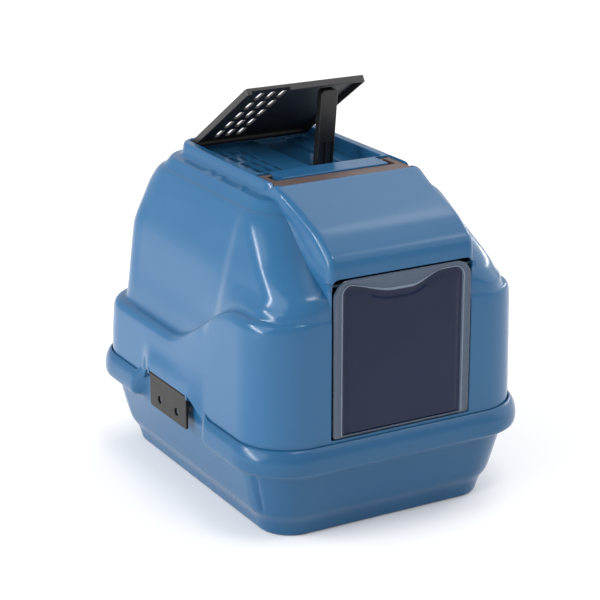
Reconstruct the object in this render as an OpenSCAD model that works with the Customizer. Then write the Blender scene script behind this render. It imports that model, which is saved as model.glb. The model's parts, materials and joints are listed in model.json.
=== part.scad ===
// Hooded cat litter box: a deep tray, a lift-off hood with a swinging door, a vented top flap over a
// carbon filter, a fold-flat carry handle, a litter scoop stored through the roof and two side clips.
// Origin at the middle of the base, X across, Y front (-) to back (+), Z up, millimetres.

/* [Tray] */
// Width over the tray's rolled rim
rim_w = 400; // [390:5:420]
// Length over the tray's rolled rim
rim_l = 500; // [490:5:530]
// Height of the ledge that the hood stands on
ledge_z = 122; // [118:1:124]
// How far the base is set in from the rim on every side
base_inset = 44; // [38:1:48]
// Wall thickness of the mouldings
wall = 3; // [2.5:0.5:3.5]

/* [Hood] */
// Height of the roof, which is the height of the closed box
roof_z = 417; // [414:1:425]
// Width of the raised front panel that holds the door
panel_w = 208; // [206:1:212]
// Height of the body's wide lower band at the back
band_back_z = 194; // [180:1:205]
// Height of the body's wide lower band at the front
band_front_z = 274; // [260:1:280]

/* [Door] */
// Width of the door
door_w = 193; // [180:1:194]
// Height of the door
door_h = 197; // [185:1:198]
// Thickness of the door's pane
door_t = 2.5; // [2:0.5:2.5]

/* [Flap and vents] */
// Angle that the flap stands open at
flap_open = 33; // [25:1:36]
// Width of the flap
flap_w = 171; // [160:1:172]
// Length of the flap from its hinge edge
flap_l = 187; // [180:1:188]
// Length of one vent hole
vent_l = 25; // [16:1:26]
// Width of one vent hole
vent_w = 8; // [6:1:11]

/* [Handle, clips and scoop] */
// Width of the handle's crossbar
bar_w = 27; // [20:1:28]
// Width of a side clip
clip_w = 104; // [90:1:106]
// Height of a side clip
clip_h = 43; // [38:1:44]
// Width of the scoop's handle
scoop_w = 24; // [22:1:30]
// Lean of the stored scoop towards the door
scoop_lean = 7; // [5:0.5:7]

/* [Hidden] */
$fn = 64;
blue = "#5685b0";
dark = "#3c3a3a";

// Steps in a ring's corner arc, and points on a long side of the hood's rings
arc_n = 6;
side_n = 7;

// Hood skirt: it stands 0.3 mm over the tray's ledge, 0.7 mm inside the rolled rim
skirt_gap = 0.7;
skirt_inset = 9 + skirt_gap;
skirt_x = rim_w / 2 - skirt_inset;
skirt_y = rim_l / 2 - skirt_inset;
skirt_z = ledge_z + 0.3;
skirt_r = 70 - skirt_gap;

// Front panel and door opening
panel_y = -skirt_y;
door_z = ledge_z + 12;
door_top = door_z + door_h;
door_r = 22;
opening_r = 13;
door_gap = 1.8;
door_swing_gap = 3;
door_back = panel_y + 0.5 + door_t;
door_pin_r = 2;
door_axis_y = door_back + 5;
door_axis_z = door_top - 7;
run = 0.05;

// Recess in the roof: walls, plateau over the filter, channel for the scoop
recess_x = 88;
recess_front = -45;
recess_back = 153;
vent_floor = roof_z - 13.5;
channel_floor = roof_z - 20;
right_floor = roof_z - 17;
channel_left = 9;
channel_right = 60;

// Flap: a panel with a rim, hinged on two stub pins at its back corners
flap_t = 3;
flap_top = roof_z - 2;
flap_axis_y = 147;
flap_axis_z = flap_top - 4.5;
flap_back = flap_axis_y + 3;
flap_barrel_r = 4.4;
flap_pin_r = 2.5;
rim_d = 9;
rim_t = 2.5;

// Handle: a U that lies in a pocket in front of the recess
pocket_x = 97;
pocket_front = -110.5;
pocket_z = roof_z - 7.5;
handle_z = roof_z - 7;
handle_t = 5;
arm_w = 10;
handle_x = pocket_x - 1;
handle_pin_y = -52;
handle_pin_z = handle_z + handle_t / 2;
handle_pin_r = 2;
ledge_x = 76;

// Side clips: each turns between two ears under a ledge that stands out of the skirt
clip_y = 5;
clip_axis_x = skirt_x + 4.3;
clip_axis_z = 141;
clip_t = 3.3;
clip_back = clip_axis_x - 1.4;
clip_barrel_r = 2.6;
clip_pin_r = 1.8;
ear_in = clip_w / 2 + 0.4;
ear_out = ear_in + 4;
skirt_cut_z = 147.5;
cheek_x = skirt_x - wall - 1.7;
peg_z = 113;
peg_pitch = 48;
peg_r = 4.2;
peg_short = 1.2;

// Scoop: handle through the roof, slotted blade below
scoop_x = 36;
scoop_y = 14;
scoop_d = 12;
scoop_up = 104;
scoop_neck = 40;
blade_w = 92;
blade_l = 120;
blade_t = 2.5;

// Middles of the vent holes in the flap and in the plateau under it
flap_vent_cols = [-55, -39, -23];
flap_vent_rows = [for (i = [0:4]) 121 - 32.5 * i];
vent_cols = [-61, -46, -31];
vent_rows = [for (i = [0:4]) 103 - 31 * i];

function smooth(t) = let (c = min(1, max(0, t))) c * c * (3 - 2 * c);

// The band's top edge runs low at the back and climbs in an S to the front
function band_z(y) = band_back_z + (band_front_z - band_back_z) * smooth((30 - y) / 190);

function arc(cx, cy, r, start) =
    [for (i = [0:arc_n]) [cx + r * cos(start + 90 * i / arc_n), cy + r * sin(start + 90 * i / arc_n)]];

// Points along a straight side, without its ends
function side(x, y0, y1, n) = [for (i = [1:1:n]) [x, y0 + (y1 - y0) * i / (n + 1)]];

// One rounded rectangle, counter-clockwise from above, with n points on each long side
function ring(hx, front, back, r, n) = concat(
    arc(hx - r, back - r, r, 0),
    arc(r - hx, back - r, r, 90),
    side(-hx, back - r, front + r, n),
    arc(r - hx, front + r, r, 180),
    arc(hx - r, front + r, r, 270),
    side(hx, front + r, back - r, n)
);

function flat_ring(hx, front, back, r, z) =
    [for (p = ring(hx, front, back, r, side_n)) [p[0], p[1], z]];

function band_ring(hx, front, back, r, dz) =
    [for (p = ring(hx, front, back, r, side_n)) [p[0], p[1], band_z(p[1]) + dz]];

// A tray ring set in by d from the rim
function tray_ring(d, r, z) =
    [for (p = ring(rim_w / 2 - d, d - rim_l / 2, rim_l / 2 - d, r, 0)) [p[0], p[1], z]];

// A closed solid through a stack of rings, capped by a fan about the middle of its first and last ring
module loft(rings) {
    n = len(rings[0]);
    m = len(rings);
    last = (m - 1) * n;
    points = concat([for (row = rings) for (p = row) p], [[0, 0, rings[0][0][2]], [0, 0, rings[m - 1][0][2]]]);
    bottom = [for (j = [0:n - 1]) [m * n, j, (j + 1) % n]];
    top = [for (j = [0:n - 1]) [m * n + 1, last + (j + 1) % n, last + j]];
    walls_a = [for (i = [0:m - 2]) for (j = [0:n - 1]) [i * n + j, (i + 1) * n + j, (i + 1) * n + (j + 1) % n]];
    walls_b = [for (i = [0:m - 2]) for (j = [0:n - 1]) [i * n + j, (i + 1) * n + (j + 1) % n, i * n + (j + 1) % n]];
    polyhedron(points = points, faces = concat(bottom, walls_a, walls_b, top), convexity = 10);
}

module box(x0, x1, y0, y1, z0, z1) {
    translate([x0, y0, z0]) cube([x1 - x0, y1 - y0, z1 - z0]);
}

// A cylinder along X from x0 to x1
module rod_x(x0, x1, y, z, r) {
    translate([min(x0, x1), y, z]) rotate([0, 90, 0]) cylinder(h = abs(x1 - x0), r = r);
}

// A cylinder along Y from y0 to y1
module rod_y(y0, y1, x, z, r) {
    translate([x, y1, z]) rotate([90, 0, 0]) cylinder(h = y1 - y0, r = r);
}

// A prism whose outline is in Y and Z, centred on x = 0
module yz_prism(outline, width) {
    translate([-width / 2, 0, 0]) rotate([90, 0, 90]) linear_extrude(width) polygon(outline);
}

module mirror_x() {
    children();
    mirror([1, 0, 0]) children();
}

module vents(cols, rows, z0, z1) {
    h = vent_w / 2;
    k = vent_l / 2;
    for (x = cols) for (y = rows) {
        translate([x, y, z0]) linear_extrude(z1 - z0)
            polygon([[-h, k - h], [0, k], [h, k - h], [h, h - k], [0, -k], [-h, h - k]]);
    }
}

// Tray

module tray_body() {
    ledge_in = 9 + wall + 4;
    loft([
        tray_ring(base_inset + 3, 40, 0),
        tray_ring(base_inset, 43, 4),
        tray_ring(base_inset - 5, 47, 22),
        tray_ring(30, 55, 31),
        tray_ring(28, 57, 38),
        tray_ring(17.5, 64, 82),
        tray_ring(8, 70, 88),
        tray_ring(2, 74, 97),
        tray_ring(0, 76, 108),
        tray_ring(2, 75, 119),
        tray_ring(5.5, 73, 127),
        tray_ring(9, 70, 129.5),
        tray_ring(9, 70, ledge_z),
        tray_ring(ledge_in, 65, ledge_z),
        tray_ring(ledge_in + 0.5, 64, 100),
        tray_ring(28 + wall, 55, 36),
        tray_ring(base_inset + 4 + wall, 38, wall + 2),
        tray_ring(base_inset + 12, 32, wall)
    ]);
}

// The rim stops short of the clips on both sides
module rim_gap() {
    translate([cheek_x, 0, 78]) linear_extrude(60) polygon([[0, -76], [20, -96], [20, 96], [0, 76]]);
}

module cheek() {
    translate([cheek_x - wall - 0.4, 0, 0]) rotate([90, 0, 90]) linear_extrude(wall + 0.4)
        polygon([[-88, 84], [-88, 128], [-66, 152], [66, 152], [88, 128], [88, 84]]);
    for (s = [-1, 1]) {
        rod_x(cheek_x - 1, clip_back - peg_short, clip_y + s * peg_pitch / 2, peg_z, peg_r);
    }
}

module tray() {
    color(blue) {
        difference() {
            tray_body();
            mirror_x() rim_gap();
        }
        mirror_x() cheek();
    }
}

// Hood

// Rings of the hood's body, grown by g: 0 for the outside, minus the wall for the inside
module hood_loft(g) {
    top = roof_z + g;
    start = g < 0 ? [flat_ring(skirt_x + g, -skirt_y - g, skirt_y + g, skirt_r + g, skirt_z - 10)] : [];
    loft(concat(start, [
        flat_ring(skirt_x + g, -skirt_y - g, skirt_y + g, skirt_r + g, skirt_z),
        band_ring(skirt_x - 3 + g, -skirt_y + 1.5 - g, skirt_y - 3 + g, 67 + g, g),
        band_ring(skirt_x - 6 + g, -skirt_y + 4 - g, skirt_y - 6 + g, 64 + g, 5 + g),
        band_ring(skirt_x - 18 + g, -skirt_y + 10 - g, skirt_y - 14 + g, 56 + g, 9 + g),
        flat_ring(160 + g, -skirt_y + 13 - g, 216 + g, 58 + g, 318 + g / 2),
        flat_ring(150 + g, -186 - g, 207 + g, 62 + g, 355 + g / 2),
        flat_ring(142 + g, -156 - g, 197 + g, 60 + g, 374 + g / 2),
        flat_ring(131 + g, -136 - g, 187 + g, 52 + g, 386 + g),
        flat_ring(120 + g, -114 - g, 174 + g, 42 + g, 400 + g),
        flat_ring(111 + g, -109 - g, 167 + g, 36 + g, 405 + g),
        flat_ring(105 + g, -106 - g, 163 + g, 30 + g, 406 + g),
        flat_ring(102 + g, -104 - g, 160 + g, 27 + g, top - 4),
        flat_ring(99 + g, -101 - g, 157 + g, 24 + g, top)
    ]));
}

// The front panel stands proud of the corners and runs up and back to the roof
module front_panel(g) {
    y = panel_y - g;
    yz_prism([
        [y, g < 0 ? skirt_z - 10 : skirt_z], [y, 338], [y + 1.5, 352], [y + 5.5, 361 + g / 2], [-203, 383 + g],
        [-112, roof_z - 0.8 + g], [-96, roof_z + g], [-96, 300], [-190, 250], [-190, skirt_z - (g < 0 ? 10 : 0)]
    ], panel_w + 2 * g);
}

module hood_shell() {
    difference() {
        union() {
            hood_loft(0);
            front_panel(0);
        }
        hood_loft(-wall);
        front_panel(-wall);
    }
}

// Solid under the recess, the pocket and the ledge between them
module roof_tub() {
    t = wall;
    rear = recess_back + t;
    box(-recess_x - t, channel_left + t, recess_front - t, rear, vent_floor - t, roof_z - 0.5);
    box(channel_left - t, channel_right + t, recess_front - t, rear, channel_floor - t, roof_z - 0.5);
    box(channel_right - t, recess_x + t, recess_front - t, rear, right_floor - t, roof_z - 0.5);
    box(-pocket_x - 2.5, pocket_x + 2.5, pocket_front - 1, recess_front - t + 1, pocket_z - t, roof_z - 0.5);
    mirror_x() box(ledge_x - t, handle_x - arm_w + t, -84, recess_front - t + 1, pocket_z - 8 - t, roof_z - 1);
}

module roof_cuts() {
    high = roof_z + 5;
    box(-recess_x, channel_left, recess_front, recess_back, vent_floor, high);
    box(channel_left - 1, channel_right, recess_front, recess_back, channel_floor, high);
    box(channel_right - 1, recess_x, recess_front, recess_back, right_floor, high);
    vents(vent_cols, vent_rows, vent_floor - wall - 1, vent_floor + 1);
    box(-pocket_x, pocket_x, pocket_front, -81, pocket_z, high);
    mirror_x() {
        box(ledge_x, pocket_x, pocket_front, recess_front - wall, pocket_z, high);
        box(ledge_x, handle_x - arm_w, -81, recess_front - wall, pocket_z - 8, high);
        rod_x(ledge_x - 5, ledge_x + 1, handle_pin_y, handle_pin_z, handle_pin_r + run);
        rod_x(recess_x - 1, recess_x + wall, flap_axis_y, flap_axis_z, flap_pin_r + run);
    }
    box(62, 80, -12, -7, right_floor - wall - 1, right_floor + 1);
    scoop_frame() {
        box(-scoop_w / 2 - 0.5, scoop_w / 2 + 0.5, -scoop_d / 2 - 0.5, scoop_d / 2 + 0.5, -20, 20);
    }
}

// The scoop's own frame: origin where it crosses the channel's floor, Z along its handle
module scoop_frame() {
    translate([scoop_x, scoop_y, channel_floor]) rotate([scoop_lean, 0, 0]) children();
}

// The door's outline grown by g, and by top more above, with upper corners of radius r
module door_outline(g, top, r) {
    hw = door_w / 2 + g;
    high = door_top + g + top;
    translate([-hw, door_z - g]) square([2 * hw, high - r - door_z + g]);
    translate([-hw + r, door_z - g]) square([2 * (hw - r), high - door_z + g]);
    for (s = [-1, 1]) {
        translate([s * (hw - r), high - r]) circle(r);
    }
}

module door_slab(g, top, r, y0, y1) {
    translate([0, y1, 0]) rotate([90, 0, 0]) linear_extrude(y1 - y0) door_outline(g, top, r);
}

// Bosses behind the front panel that the door's stub pins turn in
module door_boss() {
    x0 = door_w / 2 - 5;
    rod_x(x0, panel_w / 2 - 1, door_axis_y, door_axis_z, 4.2);
    box(door_w / 2 + door_gap, panel_w / 2 - 1, panel_y + 1, door_axis_y, door_axis_z - 4, door_axis_z + 4);
}

// The ledge over a clip, with an ear at each end
module clip_ledge() {
    x0 = skirt_x - wall + 0.5;
    x1 = clip_axis_x + 3;
    z0 = clip_axis_z + clip_barrel_r + 0.9;
    translate([0, clip_y + ear_out, 0]) rotate([90, 0, 0]) linear_extrude(2 * ear_out)
        polygon([[x0, z0], [x1, z0], [x1, z0 + 4], [skirt_x - 0.5, z0 + 12], [x0, z0 + 12]]);
    for (y = [clip_y - ear_out, clip_y + ear_in]) {
        box(x0, x1, y, y + ear_out - ear_in, clip_axis_z, z0 + 1);
        box(x0, clip_axis_x, y, y + ear_out - ear_in, clip_axis_z - 3, clip_axis_z + 1);
        rod_y(y, y + ear_out - ear_in, clip_axis_x, clip_axis_z, 3);
    }
}

module skirt_cut() {
    translate([skirt_x - 30, clip_y, 0]) rotate([90, 0, 90]) linear_extrude(40)
        polygon([[-90, 100], [-90, 123], [-62, skirt_cut_z], [62, skirt_cut_z], [90, 123], [90, 100]]);
}

module hood_body() {
    difference() {
        union() {
            difference() {
                hood_shell();
                mirror_x() skirt_cut();
                door_slab(door_gap, door_swing_gap, opening_r, panel_y - 10, panel_y + 25);
            }
            roof_tub();
            mirror_x() clip_ledge();
            mirror_x() door_boss();
        }
        roof_cuts();
        mirror_x() {
            rod_x(door_w / 2 - 6, panel_w / 2 - 3, door_axis_y, door_axis_z, door_pin_r + run);
            rod_y(clip_y - ear_out - 1, clip_y + ear_out + 1, clip_axis_x, clip_axis_z, clip_pin_r + run);
        }
    }
}

// The block of space round the recess and the pocket
module recess_block() {
    low = pocket_z - 12;
    box(-recess_x - wall, recess_x + wall, recess_front - wall, recess_back + wall, low - 5, roof_z + 5);
    box(-pocket_x - 2.5, pocket_x + 2.5, pocket_front - 1, recess_front - wall, low, roof_z + 5);
}

module hood() {
    color(blue) difference() {
        hood_body();
        recess_block();
    }
}

// The recessed middle of the hood's roof
module hood_recess() {
    color(blue) intersection() {
        hood_body();
        recess_block();
    }
}

// Door

module door() {
    color("#3a4560", 0.6) {
        door_slab(0, 0, door_r, door_back - door_t, door_back);
        difference() {
            door_slab(0, 0, door_r, door_back - door_t - 1.2, door_back - door_t + 0.5);
            door_slab(-10, 0, door_r - 10, door_back - door_t - 3, door_back - door_t + 0.5);
        }
        mirror_x() {
            x0 = door_w / 2 - 18;
            x1 = door_w / 2 - 12;
            rod_x(x0, x1, door_axis_y, door_axis_z, 3.6);
            box(x0, x1, door_back - 0.5, door_axis_y, door_axis_z - 3.6, door_axis_z + 3.6);
            rod_x(x1 - 1, panel_w / 2 - 4, door_axis_y, door_axis_z, door_pin_r);
        }
    }
}

// Flap, drawn closed and turned open about its hinge

module flap_closed() {
    x = flap_w / 2;
    front = flap_back - flap_l;
    difference() {
        union() {
            box(-x, x, front, flap_back, flap_top - flap_t, flap_top);
            box(-x, x, front, front + rim_t, flap_top - rim_d, flap_top - 1);
            mirror_x() {
                box(x - rim_t, x, front, flap_axis_y, flap_top - rim_d, flap_top - 1);
                rod_x(-1, x, flap_axis_y, flap_axis_z, flap_barrel_r);
                rod_x(x - 1, recess_x + wall - 0.5, flap_axis_y, flap_axis_z, flap_pin_r);
            }
        }
        vents(flap_vent_cols, flap_vent_rows, flap_top - flap_t - 1, flap_top + 1);
    }
}

module vent_flap() {
    color(dark) translate([0, flap_axis_y, flap_axis_z]) rotate([-flap_open, 0, 0])
        translate([0, -flap_axis_y, -flap_axis_z]) flap_closed();
}

// Carry handle

module carry_handle() {
    y0 = pocket_front + 1.5;
    color("#5c5453") {
        box(-handle_x, handle_x, y0, y0 + bar_w, handle_z, handle_z + handle_t);
        mirror_x() {
            box(handle_x - arm_w, handle_x, y0, handle_pin_y, handle_z, handle_z + handle_t);
            rod_x(handle_x - arm_w, handle_x, handle_pin_y, handle_pin_z, handle_t / 2);
            rod_x(ledge_x - 4, handle_x - 1, handle_pin_y, handle_pin_z, handle_pin_r);
        }
    }
}

// Side clip on the +X side

module clip() {
    color("#57524f") difference() {
        union() {
            box(clip_back, clip_back + clip_t, clip_y - clip_w / 2, clip_y + clip_w / 2,
                clip_axis_z - clip_h, clip_axis_z);
            rod_y(clip_y - clip_w / 2, clip_y + clip_w / 2, clip_axis_x, clip_axis_z, clip_barrel_r);
            rod_y(clip_y - ear_out + 0.2, clip_y + ear_out - 0.2, clip_axis_x, clip_axis_z, clip_pin_r);
        }
        for (s = [-1, 1]) {
            rod_x(clip_back - 1, clip_back + clip_t + 1, clip_y + s * peg_pitch / 2, peg_z, 5);
        }
    }
}

module clip_right() {
    clip();
}

module clip_left() {
    mirror([1, 0, 0]) clip();
}

// Scoop

module scoop_blade() {
    z1 = -scoop_neck;
    z0 = z1 - blade_l;
    hw = blade_w / 2;
    difference() {
        translate([0, blade_t / 2, 0]) rotate([90, 0, 0]) linear_extrude(blade_t) polygon([
            [-scoop_w / 2, z1 + 2], [scoop_w / 2, z1 + 2], [hw, z1 - 30], [hw, z0 + 8], [hw - 8, z0],
            [8 - hw, z0], [-hw, z0 + 8], [-hw, z1 - 30]
        ]);
        for (i = [-3:3]) {
            box(i * 11 - 3, i * 11 + 3, -5, 5, z0 + 14, z1 - 36);
        }
    }
    for (s = [-1, 1]) {
        translate([s * (hw - blade_t / 2), 0, 0])
            box(-blade_t / 2, blade_t / 2, -blade_t / 2, 16, z0 + 8, z1 - 30);
    }
}

module scoop() {
    w = scoop_w / 2;
    d = scoop_d / 2;
    color(dark) scoop_frame() {
        box(-w, w, -d, 0, -scoop_neck, scoop_up - 6);
        box(-w + 6, w - 6, -d, 0, -scoop_neck, scoop_up);
        for (s = [-1, 1]) {
            translate([s * (w - 6), 0, scoop_up - 6]) rotate([90, 0, 0]) cylinder(h = d, r = 6);
        }
        box(-w, 2.5 - w, -d, d, -scoop_neck, scoop_up - 8);
        box(w - 2.5, w, -d, d, -scoop_neck, scoop_up - 8);
        box(-1.5, 1.5, -d, d - 1, -scoop_neck, scoop_up - 20);
        scoop_blade();
    }
}

// Carbon filter and its holder under the plateau

module filter_holder() {
    x0 = -78;
    x1 = -16;
    y0 = -40;
    y1 = 118;
    z1 = vent_floor - wall;
    z0 = z1 - 14;
    color(blue) difference() {
        box(x0, x1, y0, y1, z0, z1);
        box(x0 + 2, x1 - 2, y0 + 2, y1 - 2, z0 + 2, z1 + 1);
        for (i = [0:4]) {
            box(x0 + 7, x1 - 7, y0 + 8 + i * 29.5, y0 + 32 + i * 29.5, z0 - 1, z0 + 3);
        }
    }
}

module filter_pad() {
    z1 = vent_floor - wall - 0.5;
    color("#202022") box(-75.5, -18.5, -37.5, 115.5, z1 - 11, z1);
}

tray();
hood();
hood_recess();
door();
vent_flap();
carry_handle();
clip_left();
clip_right();
scoop();
filter_holder();
filter_pad();
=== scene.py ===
"""The looks of a hooded cat litter box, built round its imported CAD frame.

Shapes are worked out in millimetres in the CAD's own frame (X across, Y front to back, Z up) and turned
into metres when a mesh is made. Places come from the CAD nodes' boxes and the record's joints.
"""

import json
import math

import bpy
import numpy as np
from mathutils import Matrix, Vector, noise


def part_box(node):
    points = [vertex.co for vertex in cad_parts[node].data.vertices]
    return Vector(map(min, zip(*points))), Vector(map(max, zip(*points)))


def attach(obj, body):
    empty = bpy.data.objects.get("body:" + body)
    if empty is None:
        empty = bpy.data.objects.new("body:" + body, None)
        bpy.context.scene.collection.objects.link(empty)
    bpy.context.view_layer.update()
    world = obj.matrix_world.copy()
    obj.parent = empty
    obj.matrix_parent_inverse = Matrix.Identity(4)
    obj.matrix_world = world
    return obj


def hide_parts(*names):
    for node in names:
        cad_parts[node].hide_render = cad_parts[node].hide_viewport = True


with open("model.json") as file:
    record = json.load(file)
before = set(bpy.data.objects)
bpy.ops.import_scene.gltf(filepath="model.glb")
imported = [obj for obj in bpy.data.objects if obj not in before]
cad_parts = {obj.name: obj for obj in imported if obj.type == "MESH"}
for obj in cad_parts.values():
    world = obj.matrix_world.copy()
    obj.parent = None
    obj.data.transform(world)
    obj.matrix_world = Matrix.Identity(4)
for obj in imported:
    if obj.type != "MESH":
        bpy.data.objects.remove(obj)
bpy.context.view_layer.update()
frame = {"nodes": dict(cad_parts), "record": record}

MM = 0.001
JOINTS = {j["name"]: j for j in frame["record"]["behaviour"]["joints"]}


def node_box(node):
    """Lowest and highest corner of a CAD node, in millimetres."""
    low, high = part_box(node)
    return np.array(low) / MM, np.array(high) / MM


def hinge_point(joint):
    return np.array(JOINTS[joint]["pos_m"]) / MM


# Sizes from the frame
RIM_X, RIM_Y = node_box("tray")[1][:2]
SKIRT_Y = node_box("hood")[1][1]
SKIRT_X = RIM_X - (RIM_Y - SKIRT_Y)
SKIRT_Z = node_box("hood")[0][2]
ROOF_Z = node_box("hood_recess")[1][2]
DOOR_LOW, DOOR_HIGH = node_box("door")
DOOR_AXIS = hinge_point("door_swing")
FLAP_AXIS = hinge_point("flap_hinge")
FLAP_OPEN = -math.radians(JOINTS["flap_hinge"]["range_deg"][0])
HANDLE_PIN = hinge_point("handle_fold")
CLIP_AXIS = hinge_point("clip_right_swing")
CLIP_Y = CLIP_AXIS[1]
SCOOP_LEAN = math.atan2(-JOINTS["scoop_slide"]["axis"][1], JOINTS["scoop_slide"]["axis"][2])

# Wall thickness, and the door's half width, upper corner radius and back
WALL = 3
DOOR_HALF = 96.5
DOOR_R = 22
DOOR_BACK = SKIRT_Y - 3

# The tray's pegs and the holes round them: height, and distance to each side of the clip's middle
PEG_Z = 113
PEG_APART = 24

# Ends of a clip's pins, from its middle
CLIP_PIN = 56.2

# Hollows in the roof, as (x0, x1, y0, y1) or (x0, x1), and their floors
RECESS = (-88, 88, -45, 153)
VENT_FLOOR = ROOF_Z - 13.5
CHANNEL = (9, 60)
CHANNEL_FLOOR = ROOF_Z - 20
RIGHT_FLOOR = ROOF_Z - 17
POCKET = (-97, 97, -110.5, -81)
POCKET_FLOOR = ROOF_Z - 7.5
WELL_FLOOR = POCKET_FLOOR - 8
WELL_FRONT = -84

# Half width of the ledge between the handle's arms, and the arms' inner side
LEDGE_X = 76
ARM_X = 86

# Vents as (width, length) and their middles, and where the scoop crosses the channel's floor
VENT_SIZE = (7.6, 25)
VENTS = [(x, 103 - 31 * i) for x in (-61, -46, -31) for i in range(5)]
FLAP_VENTS = [(x, 121 - 32.5 * i) for x in (-55, -39, -23) for i in range(5)]
SCOOP_FOOT = (36, 14, CHANNEL_FLOOR)


# Numbers and curves


def smooth(t):
    """Eases from 0 to 1 as t goes from 0 to 1."""
    c = np.clip(t, 0, 1)
    return c * c * (3 - 2 * c)


def band_z(y):
    """Height of the wide lower band's top edge, low at the back and high at the front."""
    return 194 + 80 * smooth((30 - y) / 190)


def b_spline(rows, steps):
    """A smooth curve or surface that runs from the first row to the last and is drawn to those between."""
    rows = np.asarray(rows, float)
    ends = np.concatenate([rows[:1], rows[:1], rows, rows[-1:], rows[-1:]])
    t = np.linspace(0, 1, steps, endpoint=False).reshape((-1,) + (1,) * (rows.ndim - 1))
    basis = [(1 - t) ** 3, 3 * t**3 - 6 * t**2 + 4, -3 * t**3 + 3 * t**2 + 3 * t + 1, t**3]
    spans = [sum(b * ends[i + k] for k, b in enumerate(basis)) / 6 for i in range(len(ends) - 3)]
    return np.concatenate(spans + [rows[-1:]])


def corner(cx, cy, r, start, steps):
    a = np.radians(start + np.linspace(0, 90, steps + 1))
    return np.stack([cx + r * np.cos(a), cy + r * np.sin(a)], 1)


def rounded_rectangle(x0, x1, y0, y1, r, arc_steps=8, x_steps=1, y_steps=1):
    """Points round a rectangle with round corners, counter-clockwise."""
    arcs = [
        corner(x1 - r, y1 - r, r, 0, arc_steps),
        corner(x0 + r, y1 - r, r, 90, arc_steps),
        corner(x0 + r, y0 + r, r, 180, arc_steps),
        corner(x1 - r, y0 + r, r, 270, arc_steps),
    ]
    points = []
    for k, steps in enumerate((x_steps, y_steps, x_steps, y_steps)):
        first, last = arcs[k][-1], arcs[(k + 1) % 4][0]
        t = np.linspace(0, 1, steps + 1)[1:-1, None]
        points += [arcs[k], first + (last - first) * t]
    return np.concatenate(points)


def circle(cx, cy, r, steps):
    a = np.linspace(0, 2 * math.pi, steps, endpoint=False)
    return np.stack([cx + r * np.cos(a), cy + r * np.sin(a)], 1)


def stub(y0, y, z, r, turns):
    """A stub's side view in (y, z): it starts at y0 and ends in a half circle round (y, z)."""
    end = [(y + r * math.sin(a), z - r * math.cos(a)) for a in np.radians(turns)]
    return [(y0, z - r), (y, z - r), *end, (y, z + r), (y0, z + r)]


def at_height(flat, z):
    return np.column_stack([flat, np.broadcast_to(z, len(flat))])


def across(flat, axis, place):
    """An outline set across an axis: it holds (y, z) for X, (z, x) for Y or (x, y) for Z."""
    first, second = {0: (1, 2), 1: (2, 0), 2: (0, 1)}[axis]
    ring = np.zeros((len(flat), 3))
    ring[:, axis] = place
    ring[:, first], ring[:, second] = np.asarray(flat, float).T
    return ring


# Meshes


def new_piece(name, points, faces):
    mesh = bpy.data.meshes.new(name)
    mesh.from_pydata([tuple(p) for p in np.asarray(points, float) * MM], [], faces)
    mesh.update()
    piece = bpy.data.objects.new(name, mesh)
    bpy.context.scene.collection.objects.link(piece)
    return piece


def stack(name, rings):
    """A closed solid through rings with the same number of points, capped at both ends."""
    n, m = len(rings[0]), len(rings)
    faces = [
        (i * n + j, i * n + (j + 1) % n, (i + 1) * n + (j + 1) % n, (i + 1) * n + j)
        for i in range(m - 1)
        for j in range(n)
    ]
    faces.append(tuple(range(n - 1, -1, -1)))
    faces.append(tuple(range((m - 1) * n, m * n)))
    return new_piece(name, np.concatenate(rings), faces)


def loop(name, rings):
    """A closed frame through rings with the same number of points, the last joined to the first."""
    n, m = len(rings[0]), len(rings)
    faces = [
        (i * n + j, i * n + (j + 1) % n, (i + 1) % m * n + (j + 1) % n, (i + 1) % m * n + j)
        for i in range(m)
        for j in range(n)
    ]
    return new_piece(name, np.concatenate(rings), faces)


def prism(name, outline, axis, low, high):
    """A counter-clockwise outline, as across() takes it, drawn out along the axis."""
    return stack(name, [across(outline, axis, place) for place in (low, high)])


def block(x0, x1, y0, y1, z0, z1):
    return prism("block", [(x0, y0), (x1, y0), (x1, y1), (x0, y1)], 2, z0, z1)


def turned(name, axis, profile, first, second, steps):
    """A round solid along an axis, from (place, radius) pairs. Its centre is in across()'s order."""
    return stack(name, [across(circle(first, second, r, steps), axis, place) for place, r in profile])


def rod(axis, low, high, first, second, r):
    return turned("rod", axis, [(low, r), (high, r)], first, second, 32)


def freeze(piece):
    """Turns a piece's modifiers into its mesh."""
    graph = bpy.context.evaluated_depsgraph_get()
    mesh = bpy.data.meshes.new_from_object(piece.evaluated_get(graph))
    old = piece.data
    piece.modifiers.clear()
    piece.data = mesh
    bpy.data.meshes.remove(old)
    return piece


def combine(piece, operation, *tools):
    for tool in tools:
        step = piece.modifiers.new("combine", "BOOLEAN")
        step.operation = operation
        step.solver = "MANIFOLD"
        step.object = tool
        freeze(piece)
        bpy.data.objects.remove(tool)
    return piece


def add(piece, *tools):
    return combine(piece, "UNION", *tools)


def cut(piece, *tools):
    return combine(piece, "DIFFERENCE", *tools)


def bevel(piece, width, segments=3, angle=40):
    step = piece.modifiers.new("bevel", "BEVEL")
    step.width = width * MM
    step.segments = segments
    step.limit_method = "ANGLE"
    step.angle_limit = math.radians(angle)
    step.use_clamp_overlap = True
    return freeze(piece)


def join(name, *pieces):
    """Several apart solids as one mesh."""
    points, faces = [], []
    for piece in pieces:
        start = len(points)
        points += [p.co / MM for p in piece.data.vertices]
        faces += [tuple(start + k for k in f.vertices) for f in piece.data.polygons]
        bpy.data.objects.remove(piece)
    return new_piece(name, np.array(points), faces)


def mirrored(piece):
    """A copy on the other side of the middle plane."""
    points = np.array([p.co for p in piece.data.vertices]) / MM * (-1, 1, 1)
    faces = [tuple(reversed(f.vertices)) for f in piece.data.polygons]
    return new_piece(piece.name + "_mirrored", points, faces)


def both_sides(piece):
    return mirrored(piece), piece


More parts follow.
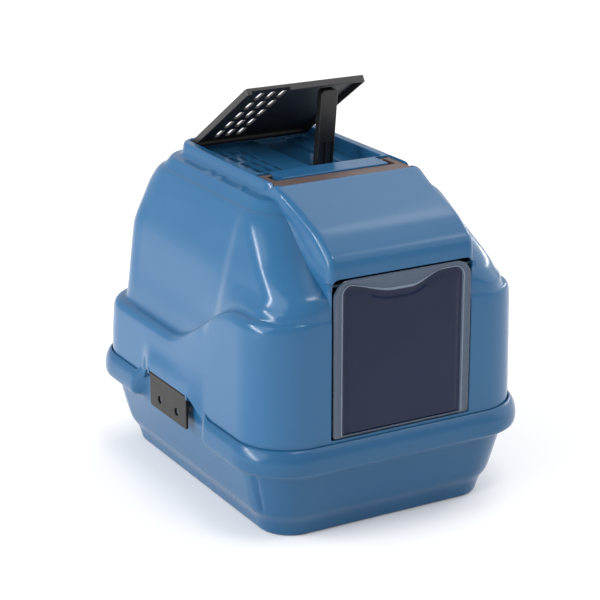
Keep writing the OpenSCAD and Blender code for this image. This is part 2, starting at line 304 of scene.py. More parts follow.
def turn(piece, matrix):
    """Moves a mesh by a matrix that is in millimetres."""
    matrix = matrix.copy()
    matrix.translation *= MM
    piece.data.transform(matrix)
    return piece


def shade(piece, sharp=32):
    piece.data.shade_smooth()
    piece.data.set_sharp_from_angle(angle=math.radians(sharp))
    step = piece.modifiers.new("normals", "WEIGHTED_NORMAL")
    step.keep_sharp = True
    step.weight = 80
    return piece


def sunk(bounds, r, floor, lip, top=ROOF_Z):
    """A cutter for a hollow in the roof with a rounded lip and a rounded foot."""
    x0, x1, y0, y1 = bounds
    foot = 1.5
    profile = [(-foot, floor), (-0.3 * foot, floor + 0.3 * foot), (0, floor + foot)]
    for a in np.radians([0, 30, 60, 90]):
        profile.append((lip * (1 - math.cos(a)), top - lip + lip * math.sin(a)))
    profile.append((lip, top + 6))
    rings = []
    for o, z in profile:
        rings.append(at_height(rounded_rectangle(x0 - o, x1 + o, y0 - o, y1 + o, r + o), z))
    return stack("hollow", rings)


def vent_slots(places, low, high):
    """Cutters for vents, upright slots with round ends."""
    w, h = VENT_SIZE[0] / 2, VENT_SIZE[1] / 2
    made = []
    for x, y in places:
        outline = rounded_rectangle(x - w, x + w, y - h, y + h, w - 0.2, arc_steps=6)
        made.append(prism("slot", outline, 2, low, high))
    return join("slots", *made)


# Materials


def material(name, colour, roughness, vary=0.06, grain=None, rough_vary=0.05, **sockets):
    """Moulded plastic: a little cloudiness in the colour, uneven gloss and a fine surface grain.

    The grain is its scale, strength and depth in millimetres. Sockets are the shader's own inputs, with
    _ for each space in their names.
    """
    mat = bpy.data.materials.new(name)
    mat.use_nodes = True
    nodes, links = mat.node_tree.nodes, mat.node_tree.links
    shader = nodes["Principled BSDF"]
    shader.inputs["Roughness"].default_value = roughness
    for socket, value in sockets.items():
        shader.inputs[socket.replace("_", " ")].default_value = value
    place = nodes.new("ShaderNodeTexCoord")

    def cloud(scale, detail=3):
        tex = nodes.new("ShaderNodeTexNoise")
        tex.inputs["Scale"].default_value = scale
        tex.inputs["Detail"].default_value = detail
        links.new(place.outputs["Object"], tex.inputs["Vector"])
        return tex.outputs["Fac"]

    tint = nodes.new("ShaderNodeMix")
    tint.data_type = "RGBA"
    tint.inputs["A"].default_value = (*[c * (1 - vary) for c in colour], 1)
    tint.inputs["B"].default_value = (*[c * (1 + vary) for c in colour], 1)
    links.new(cloud(9), tint.inputs["Factor"])
    links.new(tint.outputs["Result"], shader.inputs["Base Color"])

    gloss = nodes.new("ShaderNodeMapRange")
    gloss.inputs["To Min"].default_value = roughness - rough_vary
    gloss.inputs["To Max"].default_value = roughness + rough_vary
    links.new(cloud(26), gloss.inputs["Value"])
    links.new(gloss.outputs["Result"], shader.inputs["Roughness"])

    if grain:
        scale, strength, depth = grain
        bump = nodes.new("ShaderNodeBump")
        bump.inputs["Strength"].default_value = strength
        bump.inputs["Distance"].default_value = depth * MM
        links.new(cloud(scale, 2), bump.inputs["Height"])
        links.new(bump.outputs["Normal"], shader.inputs["Normal"])
    return mat


HOOD_BLUE = material("blue_hood", (0.018, 0.096, 0.21), 0.19, grain=(60, 0.12, 0.5),
                     Specular_IOR_Level=0.35)
TRAY_BLUE = material("blue_tray", (0.015, 0.084, 0.186), 0.22, grain=(60, 0.12, 0.5),
                     Specular_IOR_Level=0.33)
SMOKE = material("smoky_clear", (0.004, 0.014, 0.054), 0.07, vary=0.25, rough_vary=0.03,
                 grain=(5, 0.08, 1), Transmission_Weight=0.4, IOR=1.34)
CLEAR_EDGE = material("clear_edge", (0.085, 0.13, 0.2), 0.06, vary=0.08, rough_vary=0.03,
                      grain=(30, 0.1, 0.4), Transmission_Weight=0.5, IOR=1.5)
# Lighter colour for the door's bead: a painted highlight along the border's inner edge and its wave.
PAINTED_HIGHLIGHT_LINE = material("painted_highlight_line", (0.17, 0.22, 0.29), 0.08, vary=0.3, rough_vary=0.03,
                      grain=(60, 0.1, 0.2), Transmission_Weight=0.25, IOR=1.5)
CHARCOAL = material("charcoal", (0.014, 0.012, 0.012), 0.45, vary=0.15, grain=(900, 0.35, 0.15))
SCOOP_BLACK = material("scoop_black", (0.009, 0.008, 0.008), 0.32, vary=0.12, grain=(700, 0.2, 0.1))
HANDLE_GREY = material("handle_grey", (0.085, 0.055, 0.048), 0.42, vary=0.12, grain=(900, 0.3, 0.12))
CLIP_GREY = material("clip_grey", (0.012, 0.01, 0.009), 0.4, vary=0.12, grain=(800, 0.3, 0.12),
                     Specular_IOR_Level=0.25)
FOAM = material("filter_foam", (0.02, 0.02, 0.022), 0.95, vary=0.4, grain=(420, 1.0, 1.2), rough_vary=0.03)


def finish_piece(piece, name, mat, body, slot, *nodes, sharp=32):
    piece.name = name
    piece.data.materials.clear()
    piece.data.materials.append(mat)
    shade(piece, sharp)
    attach(piece, body)
    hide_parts(*nodes)
    return piece


# Tray

# Inset from the rim, corner radius and height, and the inset and height beside a clip where the rim stops
TRAY_RINGS = [
    (50, 38, 0, 50, 0),
    (46, 41, 0, 46, 0),
    (44, 43, 2, 44, 2),
    (43, 44, 6, 43, 6),
    (40.6, 45.6, 16, 40.6, 16),
    (38.4, 47.5, 21, 38.4, 21),
    (34.8, 51, 26, 34.8, 26),
    (31.2, 54, 31, 31.2, 31),
    (28.8, 56.5, 37.5, 28.8, 37.5),
    (26, 59, 47, 26, 47),
    (18.6, 64, 78, 18.6, 78),
    (17.2, 64.7, 84.5, 17.4, 84.5),
    (15.8, 65.2, 89.4, 16.4, 92),
    (12.4, 67, 92.8, 15.8, 98),
    (6.4, 70.8, 94.2, 15.2, 104),
    (1.6, 74, 96, 14.8, 110),
    (0, 76, 103, 14.4, 116),
    (0, 76, 110, 14.4, 122),
    (1.2, 75, 118, 14.4, 130),
    (4, 73, 125, 14.4, 140),
    (7, 71, 128.6, 14.8, 148),
    (8.6, 70.2, 129, 15.6, 150.6),
    (9, 70, 127.5, 17.4, 150.6),
    (9, 70, 122, 17.8, 124),
    (9, 70, 122, 17.8, 122),
    (16, 65, 122, 18.4, 121.8),
    (16, 65, 122, 18.4, 121.8),
    (16.6, 64, 112, 18.6, 112),
    (21, 61, 82, 21, 82),
    (29, 56, 47, 29, 47),
    (33, 53, 34, 33, 34),
    (43, 44, 24, 43, 24),
    (48, 40, 8, 48, 8),
    (54, 35, 3, 54, 3),
    (60, 30, 3, 60, 3),
]
# Turn from straight sideways, depth, half width in degrees and distance of the turning centre from the rim
GROOVE_TURN = 24
GROOVE_DEPTH = 2.4
GROOVE_HALF = 5.5
GROOVE_CENTRE = 84


def clip_share(y, half, fade):
    """One beside a clip, fading to nothing further along the side."""
    return 1 - smooth((np.abs(y - CLIP_Y) - half) / fade)


def tray_ring(inset, r, z):
    x, y = RIM_X - inset, RIM_Y - inset
    return at_height(rounded_rectangle(-x, x, -y, y, r, arc_steps=30, x_steps=44, y_steps=72), z)


def tray_rows():
    rows = []
    for inset, r, z, clip_inset, clip_z in TRAY_RINGS:
        ring = tray_ring(inset, r, z)
        share = clip_share(ring[:, 1], 76, 28) * (np.abs(ring[:, 0]) > RIM_X - inset - 1)
        ring[:, 0] += np.sign(ring[:, 0]) * (inset - clip_inset) * share
        ring[:, 2] += (clip_z - z) * share
        rows.append(ring)
    return b_spline(rows, 3)


def tray_grooves(rows):
    """Shallow upright grooves in the outer wall at the two front corners."""
    cx, cy = RIM_X - GROOVE_CENTRE, RIM_Y - GROOVE_CENTRE
    for row in rows[: len(rows) // 2]:
        x, y, z = row.T
        angle = np.degrees(np.arctan2(-(y + cy), np.abs(x) - cx))
        depth = GROOVE_DEPTH * (1 - smooth(np.abs(angle - GROOVE_TURN) / GROOVE_HALF)) * (y < -cy)
        depth *= smooth((z - 33) / 5) * (1 - smooth((z - 88) / 4)) * (np.abs(x) > cx)
        row[:, 0] -= np.sign(x) * depth * np.cos(np.radians(angle))
        row[:, 1] += depth * np.sin(np.radians(angle))
    return rows


def build_tray():
    tray = stack("tray_shell", tray_grooves(tray_rows()))
    tip = CLIP_AXIS[0] - 2.6
    profile = [(RIM_X - 16.5, 4.2), (tip - 1, 4.2), (tip - 0.3, 3.9), (tip, 3.2)]
    pegs = []
    for s in (-1, 1):
        pegs += both_sides(turned("peg", 0, profile, CLIP_Y + PEG_APART * s, PEG_Z, 32))
    add(tray, join("pegs", *pegs))
    return finish_piece(tray, "tray_shell", TRAY_BLUE, "tray", "tray_plastic", "tray")


# Hood

# Half width, front, back and corner radius, then the height: a share of the band's edge plus a number
HOOD_RINGS = [
    (190.3, 240.3, 240.3, 69.3, 0, 122.3),
    (190, 240, 240, 69, 0, 150),
    (188.4, 239.6, 238.6, 68, 1, -20),
    (187.8, 239.4, 238, 67.5, 1, -7),
    (186.8, 239.1, 237, 66.8, 1, 1),
    (183, 238.5, 233.6, 64.5, 1, 7),
    (176, 237.9, 227.5, 60, 1, 9),
    (172, 237.6, 224, 57.5, 1, 9.6),
    (170.8, 237.5, 223, 57, 1, 12),
    (169.4, 237.4, 222.2, 57, 1, 20),
    (165, 237, 220, 57, 0.5, 161),
    (160.5, 236, 218, 57.5, 0, 305),
    (158.5, 231, 217, 58, 0, 313),
    (155.5, 217, 214.6, 60, 0, 325),
    (150.6, 196, 210.5, 62, 0, 341),
    (146.5, 179, 206.5, 62, 0, 356),
    (142.5, 164, 201, 61, 0, 369),
    (137.5, 152.5, 195, 59, 0, 380),
    (131.5, 144, 188.4, 54.5, 0, 386.2),
    (127.6, 139, 184.4, 51, 0, 387.2),
    (126.6, 137.6, 183.2, 50, 0, 388),
    (120.6, 129, 176, 44, 0, 396.6),
    (118.4, 125.4, 173.4, 42, 0, 399.2),
    (115.6, 122, 170.6, 39.4, 0, 399.6),
    (110, 116.4, 166, 34, 0, 399.8),
    (105.4, 112, 162.4, 30.6, 0, 401),
    (104, 110, 161, 29.4, 0, 403),
    (102.4, 108, 160, 28, 0, 411),
    (101.4, 106.6, 159, 27.2, 0, 415.6),
    (99.4, 104.6, 157.6, 25.6, 0, 417),
    (97, 102, 156, 24, 0, 417),
    (96.6, 101.6, 155.8, 23.8, 0, 417),
]


def hood_rows(g, steps, arc_steps, x_steps, y_steps):
    """The hood's surface grown by g, sideways all round and upwards from the shoulders to the roof."""
    rows = []
    for hx, front, back, r, share, z in HOOD_RINGS:
        x, y0, y1 = hx + g, -front - g, back + g
        flat = rounded_rectangle(-x, x, y0, y1, r + g, arc_steps, x_steps, y_steps)
        lift = g * smooth((z + 300 * share - 330) / 50)
        rows.append(at_height(flat, share * band_z(flat[:, 1]) + z + lift))
    return b_spline(rows, steps)


# Depths of the reliefs, and the bumps' distance from the middle and places along the side
BULGE = 7.3
SIDE_PANEL = 2.2
BUMP_HEIGHT = 1.7
BUMP_X = 110.5
BUMPS = (45, 16, -41)


def hood_relief(rows):
    """A bulge over each clip, side panels set in a little, and soft bumps in the shoulder groove."""
    x, y, z = rows[..., 0], rows[..., 1], rows[..., 2]
    side = np.sign(x) * (np.abs(x) > 100)
    bulge = BULGE * clip_share(y, 56, 34) * smooth((180 - z) / 34) * (np.abs(x) > 180)
    panel = SIDE_PANEL * smooth((y + 96) / 24) * (1 - smooth((y - 150) / 30))
    panel *= smooth((z - 222) / 30) * (1 - smooth((z - 372) / 14))
    rows[..., 0] += side * (bulge - panel)
    for place in BUMPS:
        away = ((np.abs(x) - BUMP_X) / 4.6) ** 2 + ((y - place) / 9) ** 2
        rows[..., 2] += BUMP_HEIGHT * np.exp(-away) * (z > 396) * (z < 404)
    return rows


# The front panel's side view: up the door's face, over two creases and back to the roof
PANEL_LINE = [
    (-240.3, SKIRT_Z),
    (-240.3, 220),
    (-240.3, 318),
    (-240.3, 338),
    (-239.8, 347),
    (-237.4, 355.5),
    (-232, 361.8),
    (-224, 367.6),
    (-214, 374.6),
    (-205, 380.2),
    (-194, 385.2),
    (-165, 396.4),
    (-125, 411),
    (-114, 415.4),
    (-109, 416.6),
    (-101, 416.4),
    (-97, 413),
    (-95, 405),
]
PANEL_HALF = 102
PANEL_EDGE = 10


def panel_solid(g):
    """The front panel grown by g, with rounded side edges and side walls that lean out as they go back."""
    line = b_spline(PANEL_LINE, 4)
    run = np.gradient(line, axis=0)
    out = np.stack([-run[:, 1], run[:, 0]], 1) / np.linalg.norm(run, axis=1)[:, None]
    ease = 0.25 + 0.75 * smooth((-line[:, 0] - 112) / 45)
    line = line + out * g
    line[0, 1] = PANEL_LINE[0][1]
    if g < 0:
        line[0, 1] -= 5
    inside = np.array([(-92, 335), (-150, 285), (-188, 240), (-188, line[0, 1])]) - (g, -g)
    half = PANEL_HALF + g
    flat_half = half - PANEL_EDGE
    columns = [(x, 0, 0) for x in (0, 30, 60, 80, flat_half)]
    for a in np.radians(range(12, 90, 12)):
        columns.append((flat_half + PANEL_EDGE * math.sin(a), PANEL_EDGE * (1 - math.cos(a)), 0))
    columns += [(half + lean, PANEL_EDGE, back) for lean, back in ((0.4, 0), (2.4, 18), (5.4, 46))]
    rings = []
    for x, inset, back in [(-c[0], c[1], c[2]) for c in reversed(columns)] + columns[1:]:
        shown = line - out * (inset * ease)[:, None] + back * np.array([1, -0.42])
        shown[:, 1] = np.maximum(shown[:, 1], line[0, 1] + 0.001 * np.arange(len(line)))
        rings.append(across(np.concatenate([shown, inside]), 0, x))
    return stack("panel", rings[::-1])


def door_outline(grow, top, r_top):
    """The door's outline in (z, x), grown, with its top raised further."""
    hw = DOOR_HALF + grow
    z0, z1 = DOOR_LOW[2] - grow, DOOR_HIGH[2] + grow + top
    r_low = 2
    arcs = [
        corner(z1 - r_top, hw - r_top, r_top, 0, 12),
        corner(z0 + r_low, hw - r_low, r_low, 90, 4),
        corner(z0 + r_low, r_low - hw, r_low, 180, 4),
        corner(z1 - r_top, r_top - hw, r_top, 270, 12),
    ]
    return np.concatenate(arcs)


def door_opening():
    """The cutter for the doorway. Its top leans up and back, so the face hides the door's swing room."""
    rings = []
    for depth, grow, top, r in (
        (-8, 4, -1.2, 11),
        (-0.1, 4, -1.2, 11),
        (0.4, 2.9, -0.6, 10),
        (1.2, 2.0, 0.5, 10),
        (2.1, 1.8, 1.4, 10),
        (3, 1.8, 2.2, 12),
        (25, 1.8, 3, 13),
    ):
        rings.append(across(door_outline(grow, top, r), 1, depth - SKIRT_Y))
    return stack("doorway", rings)


def skirt_arch():
    """The cutter that lifts the skirt's lower edge over a clip."""
    y = np.linspace(-96, 96, 65)
    z = SKIRT_Z - 1.5 + 23.7 * (1 - smooth((np.abs(y) - 56) / 34))
    outline = [(CLIP_Y + a, b) for a, b in zip(y[::-1], z[::-1])]
    outline += [(CLIP_Y - 96, SKIRT_Z - 20), (CLIP_Y + 96, SKIRT_Z - 20)]
    return both_sides(prism("arch", outline, 0, SKIRT_X - 30, RIM_X + 10))


def clip_ears():
    """Two ears under the skirt on each side that a clip's pins turn in."""
    x, z = CLIP_AXIS[0], CLIP_AXIS[2]
    outline = [(z + 6, x + 3), (z + 0.6, x + 3), (z - 1.4, x + 2.7), (z - 2.9, x + 1), (z - 2.9, x - 1.4),
               (z - 1.4, x - 6.8), (z + 6, x - 6.8)]
    near, far = CLIP_PIN - 3.8, CLIP_PIN + 0.2
    made = []
    for y0, y1 in ((CLIP_Y - far, CLIP_Y - near), (CLIP_Y + near, CLIP_Y + far)):
        made += both_sides(prism("ear", outline, 1, y0, y1))
    return made


def door_bosses():
    """A boss on each side of the doorway, behind the panel, that the door's pin turns in."""
    outline = stub(1.2 - SKIRT_Y, *DOOR_AXIS[1:], 4, (22, 45, 67, 90, 112, 135, 157))
    return both_sides(prism("boss", outline, 0, DOOR_HALF + 1.9, PANEL_HALF + 1))


def roof_tub():
    """Solid blocks round the recess, its channel and the handle's pocket."""
    t = WALL
    x0, x1, y0, y1 = RECESS
    under = ROOF_Z - 1
    tub = block(x0 - t, CHANNEL[0] + t, y0 - t, y1 + t, VENT_FLOOR - t, under)
    add(
        tub,
        block(CHANNEL[0] - t, CHANNEL[1] + t, y0 - t, y1 + t - 0.01, CHANNEL_FLOOR - t, under - 0.01),
        block(CHANNEL[1] - t, x1 + t, y0 - t, y1 + t - 0.02, RIGHT_FLOOR - t, under - 0.02),
        block(POCKET[0] - 3, POCKET[1] + 3, POCKET[2] - 1, y0 - t + 1, POCKET_FLOOR - t, under - 0.03),
        *both_sides(block(LEDGE_X - t, ARM_X + t, WELL_FRONT, y0 - t + 1, WELL_FLOOR - t, under - 0.04)),
    )
    return tub


def roof_hollows():
    x0, x1, y0, y1 = RECESS
    arm = (LEDGE_X, POCKET[1], POCKET[2] + 10, y0 - WALL)
    well = (LEDGE_X, ARM_X, WELL_FRONT, y0 - WALL)
    right = sunk(arm, 3, POCKET_FLOOR, 1)
    right_well = sunk(well, 2, WELL_FLOOR, 0.6, top=POCKET_FLOOR + 3)
    return [
        sunk(RECESS, 5, VENT_FLOOR, 1.8),
        sunk((*CHANNEL, y0, y1 - 0.5), 4, CHANNEL_FLOOR, 1.2, top=VENT_FLOOR),
        sunk((CHANNEL[1] - 6, x1 - 0.2, y0 + 0.2, y1 - 0.8), 4, RIGHT_FLOOR, 0.8, top=VENT_FLOOR),
        sunk(POCKET, 8, POCKET_FLOOR, 1.2),
        *both_sides(right),
        *both_sides(right_well),
    ]


def scoop_place():
    """From the scoop's own upright frame to its place in the channel."""
    return Matrix.Translation(SCOOP_FOOT) @ Matrix.Rotation(SCOOP_LEAN, 4, "X")


def build_hood():
    hood = stack("hood_shell", hood_relief(hood_rows(0, 4, 14, 26, 84)))
    add(hood, panel_solid(0))
    inner_rows = hood_rows(-WALL, 1, 8, 8, 24)
    inner_rows[0][:, 2] -= 4
    inner = stack("inner", inner_rows)
    add(inner, panel_solid(-WALL))
    cut(inner, roof_tub())
    cut(hood, inner)
    cut(hood, *skirt_arch(), door_opening())
    add(hood, *clip_ears(), *door_bosses())
    cut(hood, *roof_hollows())
    scoop_slot = turn(block(-12.5, 12.5, -6.5, 6.5, -20, 20), scoop_place())
    right_slot = block(62, 80, -12, -7, RIGHT_FLOOR - 5, RIGHT_FLOOR + 2)
    cut(hood, vent_slots(VENTS, VENT_FLOOR - 5, VENT_FLOOR + 2), scoop_slot, right_slot)
    cut(hood, *both_sides(rod(0, LEDGE_X - 5, LEDGE_X + 1, *HANDLE_PIN[1:], 2.1)))
    cut(hood, *both_sides(rod(0, RECESS[1] - 1, RECESS[1] + WALL, *FLAP_AXIS[1:], 2.6)))
    return finish_piece(hood, "hood_shell", HOOD_BLUE, "hood", "hood_plastic", "hood", "hood_recess")


# Door


def door_ring(inset, y, dip=0, top_inset=None):
    """One ring of the door's front: inset from its outline, its top edge dipping in a wave."""
    top_inset = inset if top_inset is None else top_inset
    hw, z0, z1 = DOOR_HALF - inset, DOOR_LOW[2] + 0.2 * inset, DOOR_HIGH[2] - top_inset
    r, r_low = max(DOOR_R - inset * 0.8, 4), max(3 - inset * 0.2, 1)
    right = np.concatenate([
        corner(hw - r_low, z0 + r_low, r_low, 270, 4),
        np.stack([np.full(17, hw), np.linspace(z0 + 12, z1 - r - 4, 17)], 1),
        corner(hw - r, z1 - r, r, 0, 12),
    ])
    top = np.stack([np.linspace(hw - r - 3, r - hw + 3, 41), np.full(41, z1)], 1)
    left = right[::-1] * (-1, 1)
    base = np.stack([np.linspace(-hw + 8, hw - 8, 12), np.full(12, z0)], 1)
    flat = np.concatenate([right, top, left, base])
    u = (flat[:, 0] + hw) / (2 * hw)
    wave = smooth(u / 0.42) * (1 - smooth((u - 0.56) / 0.26))
    near_top = smooth((flat[:, 1] - (z1 - 30)) / 30)
    flat[:, 1] -= dip * wave * near_top
    return np.column_stack([flat[:, 0], np.full(len(flat), y), flat[:, 1]])


def build_door():
    """A smoky pane in a clear raised border, with a moulded line that dips in a wave at the top. The
    line's lighter colour is a painted highlight.
    """
    back = -DOOR_BACK
    face = back - 2.5
    border = loop(
        "door_border",
        [
            door_ring(13, back, 15.5, 7),
            door_ring(1, back),
            door_ring(0.3, back - 0.2),
            door_ring(0, back - 0.8),
            door_ring(0, face - 0.3),
            door_ring(0.5, face - 0.9),
            door_ring(1.6, face - 1.2),
            door_ring(2.8, face - 1.0, 1, 2.2),
            door_ring(4, face - 0.6, 3, 2.8),
            door_ring(8, face - 0.6, 10, 4.4),
            door_ring(9.6, face - 1.1, 12.6, 5.1),
            door_ring(10.8, face - 1.3, 14, 5.7),
            door_ring(12, face - 0.9, 15, 6.4),
            door_ring(12.7, face - 0.2, 15.4, 6.8),
            door_ring(13, face + 0.6, 15.5, 7),
        ],
    )
    # The bead is real relief, but its lighter colour is a painted highlight.
    bead = loop(
        "door_bead_painted_highlight",
        [
            door_ring(11.8, face - 0.6, 14.8, 6.3),
            door_ring(10.0, face - 0.6, 13, 5.2),
            door_ring(10.1, face - 1.4, 13.2, 5.3),
            door_ring(10.6, face - 1.8, 13.8, 5.6),
            door_ring(11.2, face - 1.8, 14.3, 6),
            door_ring(11.7, face - 1.4, 14.7, 6.2),
        ],
    )
    pane = stack(
        "door_pane",
        [
            door_ring(13, back, 15.5, 7),
            door_ring(13, face + 0.5, 15.5, 7),
            door_ring(14, face + 0.9, 16.5, 8),
            door_ring(16, face + 1.0, 17.5, 11),
            door_ring(18, face + 0.7, 16, 15),
            door_ring(20, face + 0.1, 12, 20),
            door_ring(23, face - 0.2, 8, 25),
            door_ring(34, face - 0.2, 0, 38),
        ],
    )
    outline = stub(back - 0.4, *DOOR_AXIS[1:], 3.6, (30, 60, 90, 120, 150))
    lug = prism("lug", outline, 0, DOOR_HALF - 18, DOOR_HALF - 12)
    add(lug, rod(0, DOOR_HALF - 13, PANEL_HALF + 0.6, *DOOR_AXIS[1:], 2))
    add(border, *both_sides(lug))
    finish_piece(border, "door_border", CLEAR_EDGE, "door", "door_clear", "door", sharp=40)
    finish_piece(bead, "door_bead_painted_highlight", PAINTED_HIGHLIGHT_LINE, "door", "door_clear", "door", sharp=60)
    finish_piece(pane, "door_pane", SMOKE, "door", "door_clear", "door", sharp=40)


# Flap


def build_flap():
    """A shallow upturned tray on a full-width barrel, made closed and then opened as far as at rest."""
    x, y, z = 85.5, FLAP_AXIS[1], FLAP_AXIS[2]
    back, top = y + 3, ROOF_Z - 2
    front, under = back - 187, top - 9
    outline = rounded_rectangle(-x, x, front, back, 4, arc_steps=6)
    flap = prism("flap_panel", outline, 2, under, top)
    bevel(flap, 0.9, 3, 60)
    inside = rounded_rectangle(-x + 2.5, x - 2.5, front + 2.5, back + 20, 2.5, arc_steps=4)
    cut(flap, prism("inside", inside, 2, under - 2, top - 3))
    cut(flap, block(-x - 2, x + 2, y - 5, back + 2, under - 2, top - 3))
    cut(flap, block(-x + 7, -24, front - 2, front + 6, under - 2, under + 4.6))
    add(flap, rod(0, 0.1 - x, x - 0.1, y, z, 4.39))
    add(flap, *both_sides(block(x - 2.6, x - 0.2, y - 9, y + 1, under + 0.3, top - 2)))
    add(flap, *both_sides(rod(0, x - 1, RECESS[1] + WALL - 0.6, y, z, 2.5)))
    cut(flap, vent_slots(FLAP_VENTS, top - 5, top + 2))
    opened = Matrix.Rotation(-FLAP_OPEN, 4, "X")
    turn(flap, Matrix.Translation(FLAP_AXIS) @ opened @ Matrix.Translation(-FLAP_AXIS))
    return finish_piece(flap, "flap_panel", CHARCOAL, "vent_flap", "flap_plastic", "vent_flap")


# Carry handle


def build_handle():
    """A flat U whose arms end in eyes on two pins."""
    x1, y0 = POCKET[1] - 1, POCKET[2] + 1.5
    y_in = POCKET[2] + 28.5
    pin_y, pin_z = HANDLE_PIN[1:]
    right = np.concatenate([
        corner(x1 - 8, y0 + 8, 8, 270, 8),
        [(x1, pin_y - 1), (ARM_X, pin_y - 1)],
        corner(ARM_X - 3, y_in + 3, 3, 270, 4)[::-1],
    ])
    outline = np.concatenate([right, right[::-1] * (-1, 1)])
    strap = prism("handle_strap", outline, 2, pin_z - 2.5, pin_z + 2.5)
    bevel(strap, 0.9, 3)
    add(strap, *both_sides(rod(0, ARM_X + 0.1, x1 - 0.1, pin_y, pin_z, 2.49)))
    add(strap, *both_sides(rod(0, LEDGE_X - 4, x1 - 1, pin_y, pin_z, 2)))
    node = "carry_handle"
    return finish_piece(strap, "handle_strap", HANDLE_GREY, node, "handle_plastic", node)


# Side clips


def build_clip():
    """The right clip: a plate on a barrel with a pin at each end, and two holes with rounded edges."""
    x, z = CLIP_AXIS[0], CLIP_AXIS[2]
    y0, y1, x0 = CLIP_Y - 52, CLIP_Y + 52, x - 1.4
    outline = rounded_rectangle(y0, y1, z - 43, z, 3.5, arc_steps=5)
    clip = prism("clip", outline, 0, x0, x0 + 3.3)
    bevel(clip, 0.7, 3, 50)
    add(clip, rod(1, y0 + 0.1, y1 - 0.1, z, x, 2.6))
    add(clip, rod(1, CLIP_Y - CLIP_PIN, CLIP_Y + CLIP_PIN, z, x, 1.8))
    profile = [(x0 - 1, 5), (x0 + 2.6, 5), (x0 + 3.05, 5.25), (x0 + 3.4, 5.9), (x0 + 5, 5.9)]
    for s in (-1, 1):
        cut(clip, turned("hole", 0, profile, CLIP_Y + PEG_APART * s, PEG_Z, 36))
    return clip


def build_clips():
    right = build_clip()
    left = mirrored(right)
    for clip, side in ((right, "right"), (left, "left")):
        node = "clip_" + side
        finish_piece(clip, "clip_plate_" + side, CLIP_GREY, node, "clip_plastic", node)


# Scoop


def build_scoop():
    """Worked out upright, with its origin where it crosses the channel's floor, then leaned."""
    top, neck, low = 104, -40, -160
    bar = prism("scoop_body", rounded_rectangle(neck, top, -12, 12, 6), 1, -6, 6)
    bevel(bar, 1.4, 3, 50)
    cut(bar, block(-9.4, 9.4, 0, 8, neck - 2, top - 12))
    cut(bar, block(-9, -1.5, -8, -4, neck - 2, 34), block(1.5, 9, -8, -4, neck - 2, 34))
    half = 46
    left = [(neck + 2, -11.9), (neck - 30, -half), (low + 8, -half), (low, 8 - half)]
    right = [(z, -x) for z, x in reversed(left)]
    blade = prism("blade", (left + right)[::-1], 1, -1.25, 1.25)
    slits = [block(i * 11 - 3, i * 11 + 3, -5, 5, low + 14, neck - 36) for i in range(-3, 4)]
    cut(blade, join("slits", *slits))
    side = [(-1.2, low + 8), (16, low + 12), (16, neck - 40), (-1.2, neck - 30)]
    add(blade, *both_sides(prism("side", side, 0, half - 2.5, half - 0.01)))
    add(bar, blade)
    turn(bar, scoop_place())
    return finish_piece(bar, "scoop_body", SCOOP_BLACK, "scoop", "scoop_plastic", "scoop")


# Filter


def build_filter():
    """The foam pad, a block with soft edges and a slightly uneven face."""
    (x0, y0, z0), (x1, y1, z1) = node_box("filter_pad")
    lower = [(4, 0), (2, 0), (0.9, 0.08), (0.2, 0.25)]
    upper = [(inset, 1 - t) for inset, t in reversed(lower)]
    rings = []
    for inset, t in lower + [(0, 0.5)] + upper:
        flat = rounded_rectangle(x0 + inset, x1 - inset, y0 + inset, y1 - inset, 5 - inset, 5, 18, 46)
        rings.append(at_height(flat, z0 + t * (z1 - z0)))
    pad = stack("filter_foam_pad", rings)
    for point in pad.data.vertices:
        point.co.z += 0.4 * MM * (noise.noise(point.co * 60) - 0.5)
    finish_piece(pad, "filter_foam_pad", FOAM, "hood", "filter_foam", "filter_pad")
    holder = frame["nodes"]["filter_holder"]
    holder.data.materials.clear()
    holder.data.materials.append(HOOD_BLUE)


# Stage


def build_floor():
    half = 7000
    corners = [(-half, -half, 0), (half, -half, 0), (half, half, 0), (-half, half, 0)]
    floor = new_piece("floor", corners, [(0, 1, 2, 3)])
    floor.data.materials.append(material("studio_floor", (0.9, 0.9, 0.9), 0.8, vary=0.01))


def lamp(name, kind, power):
    light = bpy.data.lights.new(name, kind)
    light.energy = power
    made = bpy.data.objects.new(name, light)
    bpy.context.scene.collection.objects.link(made)
    return made


def softbox(name, place, aim, size, power):
    box = lamp(name, "AREA", power)
    box.data.shape = "RECTANGLE"
    box.data.size, box.data.size_y = size
    box.location = place
    box.rotation_euler = (aim - box.location).to_track_quat("-Z", "Y").to_euler()


def strip(name, start, end, aim, width, power):
    """A long lamp from one point to another that faces the aim."""
    start, end = Vector(start), Vector(end)
    along = (end - start).normalized()
    back = start.lerp(end, 0.5) - aim
    back = (back - along * back.dot(along)).normalized()
    box = lamp(name, "AREA", power)
    box.data.shape = "RECTANGLE"
    box.data.size, box.data.size_y = width, (end - start).length
    box.location = start.lerp(end, 0.5)
    box.rotation_mode = "QUATERNION"
    box.rotation_quaternion = Matrix((along.cross(back), along, back)).transposed().to_quaternion()


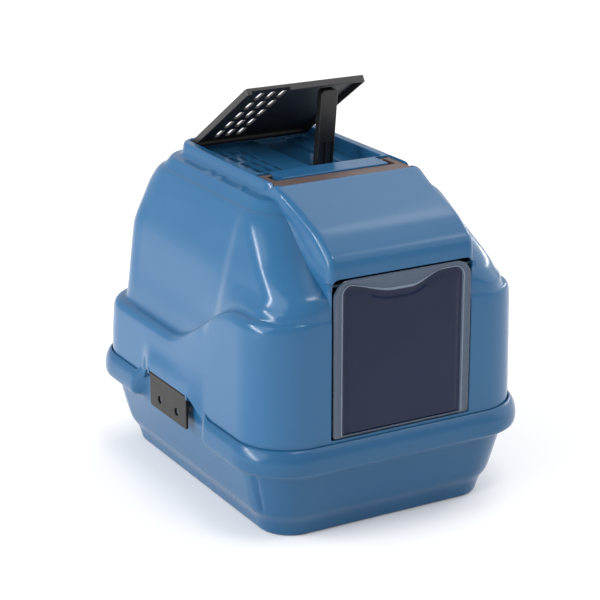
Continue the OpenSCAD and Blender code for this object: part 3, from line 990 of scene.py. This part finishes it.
def sun(name, toward, strength, spread):
    """Wide light that comes from far away in the direction given."""
    source = lamp(name, "SUN", strength)
    source.data.angle = math.radians(spread)
    source.rotation_euler = Vector(toward).to_track_quat("Z", "Y").to_euler()


def build_lights():
    """Two wide suns, strips that draw the streaks on the ridges, and boxes for the creases' highlights."""
    middle = Vector((0, 0, 0.25))
    sun("right_sun", (0.9, -0.1, 0.8), 1.5, 90)
    sun("left_sun", (-1, 0.05, 0.5), 1.25, 50)
    strip("streak_high", (-1.7, 0.93, 1.6), (-2.08, 0.5, 1.1), middle, 0.12, 11.5)
    strip("streak_low", (-2.1, 0.45, 1.05), (-2.44, -0.47, 0.26), middle, 0.2, 20)
    strip("streak_right", (2.16, 1.1, 0.6), (2.23, 0.04, 1.13), middle, 0.12, 6)
    softbox("triangle_box", (-0.04, -1.17, 2.2), middle, (0.6, 0.3), 7)
    softbox("upper_crease_box", (1.19, 0.39, 2.17), middle, (0.5, 0.5), 1.6)
    softbox("lower_crease_box", (1.26, -0.88, 1.97), middle, (0.5, 0.5), 2)
    world = bpy.data.worlds.new("studio")
    world.use_nodes = True
    background = world.node_tree.nodes["Background"]
    background.inputs["Color"].default_value = (0.97, 0.98, 1, 1)
    background.inputs["Strength"].default_value = 0.7
    bpy.context.scene.world = world


def build_camera():
    """The camera stands to the left of the front and looks a little down."""
    aside, rise, away = math.radians(-29.6), math.radians(18.5), 2.58143
    target = Vector((-0.0056, 0, 0.22515))
    level = math.cos(rise)
    back = Vector((math.sin(aside) * level, -math.cos(aside) * level, math.sin(rise)))
    camera = bpy.data.objects.new("camera", bpy.data.cameras.new("camera"))
    camera.data.sensor_width = 36
    camera.data.lens = 119.17
    camera.data.clip_end = 50
    camera.location = target + back * away
    camera.rotation_mode = "QUATERNION"
    camera.rotation_quaternion = (-back).to_track_quat("-Z", "Y")
    bpy.context.scene.collection.objects.link(camera)
    bpy.context.scene.camera = camera


build_tray()
build_hood()
build_door()
build_flap()
build_handle()
build_clips()
build_scoop()
build_filter()
build_floor()
build_lights()
build_camera()
bpy.context.scene.view_settings.view_transform = "Standard"
